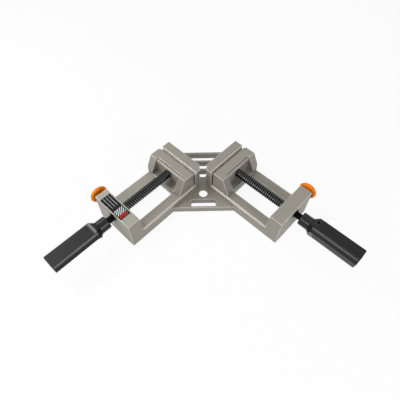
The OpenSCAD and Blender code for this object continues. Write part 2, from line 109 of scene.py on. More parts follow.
class ClampSizes(PropertyGroup):
    edge_round: length("Edge round", "Rounding of the castings' edges", 0.36)
    step_height: length("Step height", "Height of each step on top of the jaws' pockets", 1.7)
    bevel_line_border: length("Bevel line border", "Width of the bevel beside the sunk line", 0.95)
    bevel_line_depth: length("Bevel line depth", "Depth of the sunk line in the fixed jaws' bevels", 0.12)
    thread_pitch: length("Thread pitch", "Advance of the lead screws in one turn", 3)
    thread_depth: length("Thread depth", "Depth of the trapezoidal thread", 1.5)
    thread_crest: length("Thread crest", "Width of the thread's flat crest", 1)
    thread_root: length("Thread root", "Width of the thread's flat root", 0.9)
    groove_depth: length("Groove depth", "Depth of the retaining groove in the journal", 1.1)
    groove_width: length("Groove width", "Width of the retaining groove in the journal", 2.5)
    journal_length: length("Journal length", "Length of the journal that turns in the movable jaw", 12)
    journal_diameter: length("Journal", "Diameter of the journal", 9)
    shank_diameter: length("Shank", "Diameter of the plain shank that carries the grip", 8.5)
    neck_diameter: length("Neck", "Diameter of the grip's round neck", 17.5)
    neck_length: length("Neck length", "Length of the grip's round neck", 13.5)
    shoulder_length: length("Shoulder length", "Length of the conical shoulder", 6)
    grip_diameter: length("Grip", "Diameter over the rounded ridges of the grip", 27.2)
    flat_offset: length("Flat offset", "Distance of each flat from the grip's axis", 10.3)
    runout_length: length("Run-out length", "Length of each flat's curved end on the neck's side", 10)
    runout_radius: length("Run-out radius", "Radius of each flat's curved end", 14)
    grip_chamfer: length("Grip chamfer", "Chamfer round the ends of the grip", 1.2)
    grip_edge: length("Grip edge", "Rounding of the edges between flats and ridges", 0.45)
    socket_length: length("Socket", "Depth of the shank's socket in the grip", 30)
    pin_diameter: length("Grip pin", "Diameter of the pin hole through the grip", 4.04)
    left_turn: angle("Left turn", "Turn of the left grip about its screw", 0)
    right_turn: angle("Right turn", "Turn of the right grip about its screw", -13.5)
    button_back: length("Button back", "Depth of the hollow in the back of the release button", 0.6)
    button_dish: length("Button dish", "Depth of the finger dish in the release button", 0.8)
    stem_diameter: length("Stem socket", "Diameter of the stem's socket in the button", 9.04)
    stem_depth: length("Stem depth", "Depth of the stem's socket in the button", 3.02)
    keeper_head: length("Keeper screw head", "Diameter of the keeper screws' heads", 7.6)
    keeper_head_height: length("Head height", "Height of the keeper screws' heads", 2.6)
    keeper_shank: length("Keeper screw", "Diameter of the keeper screws", 4)
    keeper_key: length("Key size", "Width of the hexagonal recess in the keeper screws", 3)
    sticker_length: length("Sticker length", "Length of the sticker on the left end block", 41.8)
    sticker_width: length("Sticker width", "Width of the sticker on the left end block", 15.4)
    sticker_thickness: length("Sticker thickness", "Thickness of the sticker", 0.15)
    sticker_corner: length("Sticker corner", "Corner radius of the sticker", 0.8)


class ClampFinishes(PropertyGroup):
    paint: colour("Casting paint", "Satin grey paint of the castings", (0.315, 0.297, 0.258))
    # Lighter paint for the rounded edges of the castings: a painted highlight along them
    edge_painted_highlight: colour("Paint on edges", "Thin, polished paint along the edges", (0.66, 0.645, 0.61))
    # Darkened paint in the pockets' steps and the fixed jaws' sunk bevel lines: painted shade
    step_painted_shade: colour("Paint in the step", "Dull paint in the pockets' step", (0.135, 0.126, 0.108))
    oxide: colour("Black oxide", "Blackened steel of the lead screws", (0.002, 0.002, 0.0024))
    oxide_worn: colour("Worn oxide", "Blackened steel where the nut has rubbed it", (0.14, 0.14, 0.145))
    grip: colour("Grip", "Black moulding of the grips", (0.006, 0.006, 0.007))
    button: colour("Button", "Orange moulding of the release buttons", (1.0, 0.26, 0.012))
    steel: colour("Steel", "Plated steel of the small parts", (0.42, 0.42, 0.43))
    wire: colour("Spring wire", "Drawn wire of the return springs", (0.33, 0.33, 0.34))
    sticker: colour("Sticker", "Black vinyl of the sticker", (0.004, 0.004, 0.005))
    sticker_band: colour("Sticker band", "Red of the sticker's last stripes", (0.62, 0.05, 0.02))
    sticker_line: colour("Sticker lines", "Pale stripes and rules on the sticker", (0.72, 0.73, 0.76))


class ClampStage(PropertyGroup):
    camera_place: FloatVectorProperty(
        name="Camera", description="Place of the camera", subtype="TRANSLATION",
        default=(0.17707, -0.19436, 0.40364),
    )
    camera_heading: angle("Heading", "Turn of the camera about the vertical", 43.344)
    camera_pitch: angle("Pitch", "Tilt of the camera above the horizon", -57.093)
    camera_roll: angle("Roll", "Roll of the camera about its line of sight", 0.37)
    camera_lens: FloatProperty(
        name="Lens", description="Focal length on a 36 mm sensor", default=30.146, unit="CAMERA"
    )
    ambient: FloatProperty(
        name="Ambient", description="Strength of the even light from all round", default=0.05
    )
    floor_size: length("Floor size", "Width of the pale floor", 6000)
    floor_clear: FloatProperty(
        name="Clear floor", description="Share of the floor's white beyond the shadow's reach", default=0.93
    )


# Selection, modelling and placing


def clear_selection():
    if bpy.context.object and bpy.context.object.mode != "OBJECT":
        bpy.ops.object.mode_set(mode="OBJECT")
    bpy.ops.object.select_all(action="DESELECT")


def only(piece):
    """Makes a piece the one selected object"""
    clear_selection()
    piece.select_set(True)
    bpy.context.view_layer.objects.active = piece
    return piece


@contextmanager
def editing(piece):
    """Edit mode on one piece, with all of it selected"""
    only(piece)
    bpy.ops.object.mode_set(mode="EDIT")
    bpy.ops.mesh.select_mode(type="VERT")
    bpy.ops.mesh.select_all(action="SELECT")
    yield
    bpy.ops.object.mode_set(mode="OBJECT")


def pick(piece, kind, test):
    """In edit mode, selects only the edges or faces that pass a test"""
    bpy.ops.mesh.select_mode(type=kind)
    bpy.ops.mesh.select_all(action="DESELECT")
    mesh = bmesh.from_edit_mesh(piece.data)
    for element in mesh.edges if kind == "EDGE" else mesh.faces:
        if test(element):
            element.select_set(True)
    bmesh.update_edit_mesh(piece.data)


def modify(piece, kind, **settings):
    """Adds a modifier to a piece and applies it"""
    only(piece)
    modifier = piece.modifiers.new(kind.title(), kind)
    for name, value in settings.items():
        setattr(modifier, name, value)
    bpy.ops.object.modifier_apply(modifier=modifier.name)


def place(piece, matrix):
    """Moves a piece to its place, which then lies in its mesh"""
    piece.matrix_world = matrix
    only(piece)
    bpy.ops.object.transform_apply(location=True, rotation=True, scale=True)
    return piece


def twin(piece, name):
    """A copy of a piece with a mesh of its own"""
    other = piece.copy()
    other.data = piece.data.copy()
    other.name = name
    bpy.context.collection.objects.link(other)
    return other


def merged_copy(node, name):
    """A copy of a CAD node whose loose triangles are joined up"""
    piece = bpy.data.objects.new(name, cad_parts[node].data.copy())
    bpy.context.collection.objects.link(piece)
    piece.data.materials.clear()
    with editing(piece):
        bpy.ops.mesh.customdata_custom_splitnormals_clear()
        bpy.ops.mesh.remove_doubles(threshold=MERGE)
    return piece


def named(name):
    """Names the object that an operator has just added"""
    piece = bpy.context.object
    piece.name = name
    piece.data.name = name
    return piece


def outline(name, points):
    """An open line of edges through points in the X, Y plane, drawn from a single vertex"""
    clear_selection()
    bpy.ops.mesh.primitive_plane_add(size=MM)
    piece = named(name)
    with editing(piece):
        bpy.ops.mesh.merge(type="CENTER")
        bpy.ops.transform.translate(value=(*points[0], 0))
        for start, end in zip(points, points[1:]):
            step = (end[0] - start[0], end[1] - start[1], 0)
            bpy.ops.mesh.extrude_vertices_move(TRANSFORM_OT_translate={"value": step})
    return piece


def turned(name, profile, steps=96):
    """A solid turned about the X axis: each point of the profile is a place along the axis and a radius"""
    piece = outline(name, profile)
    with editing(piece):
        bpy.ops.mesh.spin(steps=steps, angle=FULL_TURN, center=(0, 0, 0), axis=(1, 0, 0))
        bpy.ops.mesh.select_all(action="SELECT")
        bpy.ops.mesh.remove_doubles(threshold=MERGE)
        bpy.ops.mesh.normals_make_consistent(inside=False)
    return piece


def arc(centre, radius, start_deg, end_deg, steps):
    """Points of an arc, as places along the axis and radii"""
    turns = [math.radians(start_deg + (end_deg - start_deg) * k / steps) for k in range(steps + 1)]
    return [(centre[0] + radius * math.cos(turn), centre[1] + radius * math.sin(turn)) for turn in turns]


def cut(piece, tool):
    """Cuts a tool's solid out of a piece and removes the tool"""
    modify(piece, "BOOLEAN", operation="DIFFERENCE", object=tool, solver="EXACT")
    bpy.data.objects.remove(tool)


def join(piece, *others):
    """Joins further pieces to the first one"""
    only(piece)
    for other in others:
        other.select_set(True)
    bpy.ops.object.join()
    return piece


def soft_shading(piece, sharp_deg=32):
    """Smooth shading on curves, with the large flat faces kept flat"""
    only(piece)
    bpy.ops.object.shade_smooth_by_angle(angle=math.radians(sharp_deg))
    modify(piece, "WEIGHTED_NORMAL", mode="FACE_AREA", weight=50, keep_sharp=True)


def dress(piece, body, slot, materials, *nodes):
    """Gives a finished piece its materials and its body, and hides the CAD nodes that it stands for"""
    piece.data.materials.clear()
    for material in materials:
        piece.data.materials.append(material)
    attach(piece, body)
    if nodes:
        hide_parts(*nodes)


def screw_frame(side):
    """Stands a piece that was turned about the X axis on an arm's screw, with +X pointing outwards"""
    low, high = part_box(f"{side}_lead_screw")
    axis = (low + high) / 2
    if side == "left":
        return Matrix.Translation((axis.x, 0, axis.z)) @ Matrix.Rotation(-math.pi / 2, 4, "Z")
    return Matrix.Translation((0, axis.y, axis.z))


def release_frame(side):
    """Stands a piece that was turned about X on an arm's release axis, with +X pointing to the button"""
    low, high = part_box(f"{side}_release_button")
    middle = (low + high) / 2
    if side == "left":
        return Matrix.Translation((0, middle.y, middle.z)) @ Matrix.Rotation(math.pi, 4, "Z")
    return Matrix.Translation((middle.x, 0, middle.z)) @ Matrix.Rotation(math.pi / 2, 4, "Z")


# Node trees


class Socket:
    """An output of a node, on which arithmetic adds Math nodes"""

    def __init__(self, nodes, socket):
        self.nodes = nodes
        self.socket = socket

    def math(self, operation, first, second=0.0):
        return self.nodes.make("Math", {"operation": operation}, {0: first, 1: second})

    def __add__(self, other):
        return self.math("ADD", self, other)

    def __sub__(self, other):
        return self.math("SUBTRACT", self, other)

    def __rsub__(self, other):
        return self.math("SUBTRACT", other, self)

    def __mul__(self, other):
        return self.math("MULTIPLY", self, other)

    def __mod__(self, other):
        return self.math("FLOORED_MODULO", self, other)

    def __lt__(self, other):
        return self.math("LESS_THAN", self, other)

    def __gt__(self, other):
        return self.math("GREATER_THAN", self, other)

    def __or__(self, other):
        return self.math("MAXIMUM", self, other)

    def __abs__(self):
        return self.math("ABSOLUTE", self)

    __radd__ = __add__
    __rmul__ = __mul__


class Nodes:
    """A node tree that is written as expressions"""

    def __init__(self, tree):
        self.tree = tree
        tree.nodes.clear()

    def make(self, kind, settings=None, sockets=None, output=0):
        """Adds a node, sets it up, fills or links its sockets and returns one of its outputs"""
        node = self.tree.nodes.new("ShaderNode" + kind)
        for name, value in (settings or {}).items():
            setattr(node, name, value)
        for name, value in (sockets or {}).items():
            if isinstance(value, Socket):
                self.tree.links.new(value.socket, node.inputs[name])
            else:
                node.inputs[name].default_value = value
        return Socket(self, node.outputs[output]) if len(node.outputs) else None

    def blend(self, factor, low, high):
        """A colour between two others"""
        return self.make("Mix", {"data_type": "RGBA"}, {0: factor, 6: low, 7: high}, output=2)

    def smooth(self, value, low, high):
        """0 below low, 1 above high, with a smooth step between"""
        sockets = {"Value": value, "From Min": low, "From Max": high}
        return self.make("MapRange", {"interpolation_type": "SMOOTHSTEP"}, sockets)

    def place(self):
        return self.make("TexCoord", output="Object")

    def from_point(self, point, keep=(1, 1, 1)):
        """The vector from a point to the surface, with the axes that are not kept set to 0"""
        shift = self.make("VectorMath", {"operation": "SUBTRACT"}, {0: self.place(), 1: point})
        return self.make("VectorMath", {"operation": "MULTIPLY"}, {0: shift, 1: keep})

    def noise(self, scale, detail=2.0, stretch=(1, 1, 1)):
        """Noise with features of about 1 / scale metres, shortened along each axis by the stretch"""
        stretched = self.make("VectorMath", {"operation": "MULTIPLY"}, {0: self.place(), 1: stretch})
        return self.make("TexNoise", {}, {"Vector": stretched, "Scale": scale, "Detail": detail})

    def bump(self, height, strength, depth):
        """A normal from a height that spans 0 to 1 over a depth"""
        sockets = {"Height": height, "Strength": strength, "Distance": depth}
        return self.make("Bump", {}, sockets, output="Normal")

    def background_rays(self):
        """1 for the rays that show the background: seen directly, mirrored or through glass"""
        rays = self.make("LightPath").socket.node.outputs
        seen = Socket(self, rays["Is Camera Ray"])
        mirrored = Socket(self, rays["Is Glossy Ray"])
        through = Socket(self, rays["Is Transmission Ray"])
        return seen | mirrored | through


class Finish(Nodes):
    """A material with one principled surface"""

    def __init__(self, name):
        self.material = bpy.data.materials.new(name)
        self.material.use_nodes = True
        super().__init__(self.material.node_tree)

    def surface(self, **sockets):
        """Closes the material; an underscore in a socket's name stands for a space"""
        plain = {name.replace("_", " "): value for name, value in sockets.items()}
        shader = self.make("BsdfPrincipled", {}, plain)
        self.make("OutputMaterial", {}, {"Surface": shader})
        return self.material


def shade(base, factor=1.0):
    """A colour for a socket, lightened or darkened"""
    return (*(min(1, channel * factor) for channel in base), 1)


# Finishes


def cast_paint(name, base, relief=0.25):
    """Metallic grey paint over a die casting: slight clouding, a fine flake and a soft orange peel"""
    paint = Finish(name)
    clouds = paint.noise(scale=60, detail=3)
    flake = paint.smooth(paint.noise(scale=1300, detail=2), low=0.3, high=0.7)
    peel = paint.noise(scale=420, detail=2)
    tone = paint.blend(clouds * 0.45 + flake * 0.55, low=shade(base, 0.87), high=shade(base, 1.13))
    return paint.surface(
        Base_Color=tone,
        Metallic=0.4,
        Roughness=0.52 - flake * 0.1,
        Specular_IOR_Level=0.15,
        Normal=paint.bump(peel * 0.6 + flake * 0.4, strength=relief, depth=0.12 * MM),
    )


def black_oxide(finishes, side, radius):
    """Oiled black oxide, rubbed brighter on the crests of the thread"""
    oxide = Finish(f"black_oxide_{side}")
    low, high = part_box(f"{side}_lead_screw")
    axis = (low + high) / 2
    across = (1, 0, 1) if side == "left" else (0, 1, 1)
    spoke = oxide.from_point(axis, across)
    from_axis = oxide.make("VectorMath", {"operation": "LENGTH"}, {0: spoke}, output="Value")
    patches = oxide.noise(scale=700, detail=3)
    crest = oxide.smooth(from_axis, low=radius - 0.12 * MM, high=radius)
    rubbed = crest * (0.3 + patches * 0.8)
    return oxide.surface(
        Base_Color=oxide.blend(rubbed, low=shade(finishes.oxide), high=shade(finishes.oxide_worn)),
        Metallic=crest,
        Roughness=0.36 - rubbed * 0.22,
        Specular_IOR_Level=0.04,
        Normal=oxide.bump(patches, strength=0.15, depth=0.05 * MM),
    )


def grip_ridge(finishes, side):
    """Smooth black moulding with faint draw marks along the grip"""
    ridge = Finish(f"grip_ridge_{side}")
    stretch = (1, 0.06, 1) if side == "left" else (0.06, 1, 1)
    marks = ridge.noise(scale=900, detail=3, stretch=stretch)
    clouds = ridge.noise(scale=90, detail=2)
    return ridge.surface(
        Base_Color=ridge.blend(clouds, low=shade(finishes.grip, 0.85), high=shade(finishes.grip, 1.2)),
        Roughness=0.2 + marks * 0.1,
        Specular_IOR_Level=0.3,
        Normal=ridge.bump(marks, strength=0.06, depth=0.04 * MM),
    )


def grip_flat(finishes):
    """The spark-eroded matte of the grip's flats"""
    flat = Finish("grip_flat")
    texture = flat.noise(scale=2200, detail=2)
    clouds = flat.noise(scale=70, detail=3)
    return flat.surface(
        Base_Color=flat.blend(clouds, low=shade(finishes.grip), high=shade(finishes.grip, 1.5)),
        Roughness=0.36 + texture * 0.16,
        Specular_IOR_Level=0.18,
        Normal=flat.bump(texture, strength=0.35, depth=0.06 * MM),
    )


def button_plastic(finishes):
    """Bright orange moulding with a slight swirl"""
    plastic = Finish("button_plastic")
    swirl = plastic.noise(scale=160, detail=4)
    fine = plastic.noise(scale=1600, detail=2)
    return plastic.surface(
        Base_Color=plastic.blend(swirl, low=shade(finishes.button, 0.96), high=shade(finishes.button, 1.04)),
        Roughness=0.42 + fine * 0.1,
        Specular_IOR_Level=0.12,
        Normal=plastic.bump(fine, strength=0.02, depth=0.02 * MM),
    )


def plated_steel(name, base):
    """Plated, drawn or blackened steel with a cloudy grain"""
    steel = Finish(name)
    clouds = steel.noise(scale=350, detail=4)
    lines = steel.noise(scale=2400, detail=2, stretch=(1, 1, 0.1))
    return steel.surface(
        Base_Color=steel.blend(clouds, low=shade(base, 0.82), high=shade(base, 1.12)),
        Metallic=1.0,
        Roughness=0.26 + lines * 0.16,
        Normal=steel.bump(lines, strength=0.1, depth=0.03 * MM),
    )


def sticker_vinyl(finishes, middle, long_side, short_side):
    """Black vinyl with slanted stripes at one end and pale rules at the other"""
    vinyl = Finish("sticker_vinyl")
    rim = 1.3 * MM
    rule = 0.45 * MM
    rule_pitch = short_side / 4
    rules_end = 0.5 * long_side
    stripe_pitch = 3.6 * MM
    stripes_start = 0.62 * long_side
    red_start = 0.84 * long_side
    split = vinyl.make("SeparateXYZ", {}, {0: vinyl.from_point(middle)}, output="X").socket.node
    along = Socket(vinyl, split.outputs["X"])
    across = Socket(vinyl, split.outputs["Y"])
    from_end = long_side / 2 + along
    from_front = short_side / 2 + across
    clear = (long_side / 2 - abs(along) > rim) * (short_side / 2 - abs(across) > rim)
    slanted = ((from_end + from_front) % stripe_pitch) < stripe_pitch / 2
    stripes = clear * (from_end > stripes_start) * slanted
    rules = clear * (from_end < rules_end) * ((from_front % rule_pitch) < rule)
    red_end = from_end > red_start
    scuffs = vinyl.noise(scale=500, detail=3)
    ground = vinyl.blend(scuffs, low=shade(finishes.sticker, 0.8), high=shade(finishes.sticker, 1.5))
    ink = vinyl.blend(red_end, low=shade(finishes.sticker_line), high=shade(finishes.sticker_band))
    printed = vinyl.blend(stripes | rules, low=ground, high=ink)
    return vinyl.surface(Base_Color=printed, Roughness=0.4 + scuffs * 0.12, Specular_IOR_Level=0.12)


# Operators


class CLAMP_OT_castings(Operator):
    """Rounds the outer edges of the painted castings, coats the rounded edges with a painted highlight and
    paints shade into the pockets' steps and sunk bevel lines
    """

    bl_idname = "clamp.castings"
    bl_label = "Painted castings"

    def execute(self, context):
        sizes = context.scene.clamp_sizes
        finishes = context.scene.clamp_finishes
        paint = cast_paint("cast_paint", finishes.paint)
        # Lightened paint for the rounded edges, as a painted highlight
        edge = cast_paint("cast_paint_edge", finishes.edge_painted_highlight, relief=0.02)
        # Darkened paint as painted shade for the step uprights and the sunk bevel lines
        painted_shade = cast_paint("cast_paint_shade", finishes.step_painted_shade)
        bodies = {"base_casting": "base", "left_movable_jaw": "left_jaw", "right_movable_jaw": "right_jaw"}
        for node, body in bodies.items():
            piece = self.whole_faces(node)
            with editing(piece):
                pick(piece, "EDGE", self.is_corner)
                # The new faces of the rounded edges take the painted-highlight coat
                bpy.ops.mesh.bevel(
                    offset=sizes.edge_round, segments=3, profile=0.5, affect="EDGES", clamp_overlap=False,
                    material=PAINTED_HIGHLIGHT_COAT,
                )
                if node == "base_casting":
                    self.sink_bevel_line(piece, sizes)
            soft_shading(piece)
            coats = [polygon.material_index for polygon in piece.data.polygons]
            if node != "base_casting":
                self.coat_step(piece, coats, node, sizes.step_height)
            dress(piece, body, "cast_paint", [paint, edge, painted_shade], node)
            piece.data.polygons.foreach_set("material_index", coats)
        return {"FINISHED"}

    @staticmethod
    def sink_bevel_line(piece, sizes):
        """In edit mode, sinks a line along the bevels over the fixed jaws' faces and fills it with painted
        shade
        """
        near_face = 3 * MM
        least_area = 60 * MM * MM
        slopes = {side: (OUTWARDS[side] + Vector((0, 0, 1))).normalized() for side in SIDES}

        def is_bevel(face):
            middle = face.calc_center_median()
            return face.calc_area() > least_area and any(
                face.normal.dot(slope) > SAME_WAY and abs(middle.dot(OUTWARDS[side])) < near_face
                for side, slope in slopes.items()
            )

        pick(piece, "FACE", is_bevel)
        bpy.ops.mesh.inset(thickness=sizes.bevel_line_border, depth=-sizes.bevel_line_depth)
        mesh = bmesh.from_edit_mesh(piece.data)
        sunk = [face for face in mesh.faces if face.select]
        if len(sunk) != len(SIDES):
            raise RuntimeError(f"{len(sunk)} bevels found over the fixed jaws' faces")
        # The sunk lines get painted shade
        for face in sunk:
            face.material_index = PAINTED_SHADE_COAT
        bmesh.update_edit_mesh(piece.data)

    @staticmethod
    def coat_step(piece, coats, node, step):
        """Gives a pocket step's upright painted shade, and the slope below it the plain coat without the
        painted edge highlight
        """
        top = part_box(node)[1].z
        outwards = OUTWARDS[node.split("_")[0]]
        upright_lean = 0.75
        slope_top, slope_foot = 0.9 * step, 2.6 * step
        least_lean, most_lean = 0.1, 0.98
        for polygon in piece.data.polygons:
            lean = polygon.normal.dot(outwards)
            depth = top - polygon.center.z
            # Step uprights get painted shade
            if lean > upright_lean and depth < step:
                coats[polygon.index] = PAINTED_SHADE_COAT
            elif slope_top < depth < slope_foot and least_lean < lean < most_lean:
                coats[polygon.index] = PLAIN_COAT

    @staticmethod
    def whole_faces(node):
        """A merged copy of a CAD node whose flat faces are whole again"""
        piece = merged_copy(node, f"{node}_rounded")
        for _ in (PLAIN_COAT, PAINTED_HIGHLIGHT_COAT, PAINTED_SHADE_COAT):
            piece.data.materials.append(None)
        with editing(piece):
            bpy.ops.mesh.dissolve_limited(angle_limit=FLAT_ANGLE)
        return piece

    @staticmethod
    def is_corner(edge):
        """Whether an edge is an outer corner between two faces that are wide enough to round"""
        corner_angle = math.radians(24)
        shortest = 2 * MM
        narrowest = 1.8 * MM
        if not edge.is_convex or edge.calc_length() < shortest:
            return False
        width = min(face.calc_area() for face in edge.link_faces) / edge.calc_length()
        return edge.calc_face_angle() > corner_angle and width > narrowest


class CLAMP_OT_lead_screws(Operator):
    """Cuts a trapezoidal thread on the lead screws, between a grooved journal and a plain shank"""

    bl_idname = "clamp.lead_screws"
    bl_label = "Lead screws"

    def execute(self, context):
        sizes = context.scene.clamp_sizes
        low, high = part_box("right_lead_screw")
        radius = (high.z - low.z) / 2
        thread_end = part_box("base_casting")[1].x
        journal = sizes.journal_diameter / 2
        shank = sizes.shank_diameter / 2
        step = 0.3 * MM
        overlap = MM
        thread_start = low.x + sizes.journal_length + step
        groove_start = low.x + sizes.journal_length / 2 - sizes.groove_width / 2
        groove_end = groove_start + sizes.groove_width
        floor = journal - sizes.groove_depth
        inner = turned("screw_journal", [
            (low.x, 0), (low.x, journal - step), (low.x + step, journal),
            (groove_start, journal), (groove_start, floor), (groove_end, floor), (groove_end, journal),
            (thread_start + overlap, journal), (thread_start + overlap, 0),
        ])
        outer = turned("screw_shank", [
            (thread_end - overlap, 0), (thread_end - overlap, shank),
            (high.x - step, shank), (high.x, shank - step), (high.x, 0),
        ])
        rod = join(self.thread(sizes, radius, thread_start, thread_end), inner, outer)
        soft_shading(rod)
        for side in SIDES:
            piece = place(twin(rod, f"{side}_threaded_screw"), screw_frame(side))
            finish = black_oxide(context.scene.clamp_finishes, side, radius)
            dress(piece, f"{side}_screw", "blackened_steel", [finish], f"{side}_lead_screw")
        bpy.data.objects.remove(rod)
        return {"FINISHED"}

    @staticmethod
    def thread(sizes, radius, start, end):
        """A right-hand trapezoidal thread along X, trimmed square at both ends"""
        pitch = sizes.thread_pitch
        root = radius - sizes.thread_depth
        flank = (pitch - sizes.thread_crest - sizes.thread_root) / 2
        places = (0, sizes.thread_root, sizes.thread_root + flank, pitch - flank, pitch)
        radii = (root, root, radius, radius, root)
        profile = [(start - pitch + along, height) for along, height in zip(places, radii)]
        piece = outline("screw_thread", profile)
        turns = math.ceil((end - start) / pitch) + 2
        steps = 40
        modify(
            piece, "SCREW", axis="X", angle=FULL_TURN, screw_offset=pitch, iterations=turns,
            steps=steps, render_steps=steps, use_smooth_shade=False,
        )
        with editing(piece):
            bpy.ops.mesh.remove_doubles(threshold=MERGE)
            bpy.ops.mesh.normals_make_consistent(inside=False)
            for cut_place, outwards in ((start, -1), (end, 1)):
                bpy.ops.mesh.select_all(action="SELECT")
                bpy.ops.mesh.bisect(
                    plane_co=(cut_place, 0, 0), plane_no=(outwards, 0, 0), use_fill=True, clear_outer=True,
                )
            bpy.ops.mesh.select_all(action="SELECT")
            bpy.ops.mesh.normals_make_consistent(inside=False)
        return piece


class CLAMP_OT_grips(Operator):
    """Moulds the two grips: a round neck, a conical shoulder and three flats between rounded ridges

    The right grip's flat is drilled for its pin; the left grip's is closed over it.
    """

    bl_idname = "clamp.grips"
    bl_label = "Grips"

    def execute(self, context):
        sizes = context.scene.clamp_sizes
        finishes = context.scene.clamp_finishes
        low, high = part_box("right_handle")
        pin_low, pin_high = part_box("right_handle_pin")
        pin_place = (pin_low.x + pin_high.x) / 2
        neck_end = low.x + sizes.neck_length
        shoulder_end = neck_end + sizes.shoulder_length
        flat_spread = math.radians(0.6)
        sharp_deg = 38
        matte = grip_flat(finishes)
        for side, turn in zip(SIDES, (sizes.left_turn, sizes.right_turn)):
            grip = self.blank(sizes, low.x, high.x)
            flat_turns = [turn + FULL_TURN * k / GRIP_FLATS for k in range(GRIP_FLATS)]
            for flat_turn in flat_turns:
                cut(grip, self.flat_tool(sizes, neck_end, high.x, flat_turn))
            if side == "right":
                cut(grip, self.pin_tool(sizes, pin_place, turn))
            normals = [Vector((0, -math.sin(flat_turn), math.cos(flat_turn))) for flat_turn in flat_turns]
            with editing(grip):
                bpy.ops.mesh.remove_doubles(threshold=MERGE)
                bpy.ops.mesh.dissolve_limited(angle_limit=FLAT_ANGLE)
                pick(grip, "EDGE", lambda edge: self.is_flat_edge(edge, normals, shoulder_end))
                bpy.ops.mesh.bevel(offset=sizes.grip_edge, segments=3, affect="EDGES", clamp_overlap=False)
            flats = [
                max(polygon.normal.dot(normal) for normal in normals) > math.cos(flat_spread)
                for polygon in grip.data.polygons
            ]
            soft_shading(grip, sharp_deg)
            piece = place(twin(grip, f"{side}_grip"), screw_frame(side))
            bpy.data.objects.remove(grip)
            smooth = grip_ridge(finishes, side)
            dress(piece, f"{side}_screw", "grip_plastic", [smooth, matte], f"{side}_handle")
            piece.data.polygons.foreach_set("material_index", [int(flat) for flat in flats])
        return {"FINISHED"}

    @staticmethod
    def blank(sizes, start, end):
        """The turned blank with the shank's socket"""
        neck = sizes.neck_diameter / 2
        body = sizes.grip_diameter / 2
        chamfer = sizes.grip_chamfer
        bore = sizes.shank_diameter / 2
        neck_end = start + sizes.neck_length
        grip_start = neck_end + sizes.shoulder_length
        socket_end = start + sizes.socket_length
        neck_round = arc((start + chamfer, neck - chamfer), chamfer, 180, 90, 4)[1:]
        end_round = arc((end - chamfer, body - chamfer), chamfer, 90, 0, 4)
        return turned("grip_blank", [
            (socket_end, 0), (socket_end, bore), (start, bore), (start, neck - chamfer), *neck_round,
            (neck_end, neck), (grip_start, body), *end_round, (end, 0),
        ], steps=144)

    @staticmethod
    def flat_tool(sizes, start, end, turn):
        """The cutter of one flat, whose end on the neck's side runs out in an arc"""
        radius = sizes.runout_radius
        sweep = math.degrees(math.asin(sizes.runout_length / radius))
        centre = (start + sizes.runout_length, sizes.flat_offset + radius)
        run_out = arc(centre, radius, 270 - sweep, 270, 12)
        width = 2 * sizes.grip_diameter
        far = end + CUT_MARGIN
        border = [(far, sizes.flat_offset), (far, width), (run_out[0][0], width)]
        tool = outline("flat_tool", [*run_out, *border])
        with editing(tool):
            bpy.ops.mesh.edge_face_add()
            bpy.ops.mesh.extrude_region_move(TRANSFORM_OT_translate={"value": (0, 0, width)})
            bpy.ops.mesh.select_all(action="SELECT")
            bpy.ops.mesh.normals_make_consistent(inside=False)
        upright = Matrix.Rotation(turn + math.pi / 2, 4, "X")
        return place(tool, upright @ Matrix.Translation((0, 0, -width / 2)))

    @staticmethod
    def pin_tool(sizes, where, turn):
        """The drill for the pin that fixes the grip to its shank"""
        radius = sizes.pin_diameter / 2
        clear_selection()
        bpy.ops.mesh.primitive_cylinder_add(vertices=40, radius=radius, depth=2 * sizes.grip_diameter)
        tool = named("pin_tool")
        return place(tool, Matrix.Rotation(turn, 4, "X") @ Matrix.Translation((where, 0, 0)))

    @staticmethod
    def is_flat_edge(edge, normals, shoulder_end):
        """Whether an edge runs along a flat's border beyond the shoulder"""
        least_angle = math.radians(20)
        margin = 0.1 * MM
        nearly_along = 0.99
        if len(edge.link_faces) != 2 or edge.calc_face_angle() < least_angle:
            return False
        beyond = min(vertex.co.x for vertex in edge.verts) > shoulder_end - margin
        along = abs((edge.verts[1].co - edge.verts[0].co).normalized().x) > nearly_along
        on_flat = any(face.normal.dot(normal) > SAME_WAY for face in edge.link_faces for normal in normals)
        return beyond and along and on_flat


class CLAMP_OT_buttons(Operator):
    """Turns the two release buttons, with a full-round rim and a finger dish"""

    bl_idname = "clamp.buttons"
    bl_label = "Release buttons"

    def execute(self, context):
        sizes = context.scene.clamp_sizes
        low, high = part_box("right_release_button")
        radius = (high.z - low.z) / 2
        rim = (high.y - low.y) / 2
        ring = radius - rim
        stem = sizes.stem_diameter / 2
        collar = stem + MM
        dish_steps = 8
        shares = [k / dish_steps for k in range(dish_steps)]
        dish = [(high.y - sizes.button_dish * (1 - share ** 2), ring * share) for share in shares]
        hollow = low.y + sizes.button_back
        back = [(hollow, ring - sizes.button_back), (hollow, collar), (low.y, collar)]
        socket = [(low.y, stem), (low.y + sizes.stem_depth, stem), (low.y + sizes.stem_depth, 0)]
        rim_points = arc((low.y + rim, ring), rim, 0, 180, 16)
        button = turned("button_blank", [*dish, *rim_points, *back, *socket])
        soft_shading(button)
        plastic = button_plastic(context.scene.clamp_finishes)
        for side in SIDES:
            piece = place(twin(button, f"{side}_button"), release_frame(side))
            dress(piece, f"{side}_release", "button_plastic", [plastic], f"{side}_release_button")
        bpy.data.objects.remove(button)
        return {"FINISHED"}


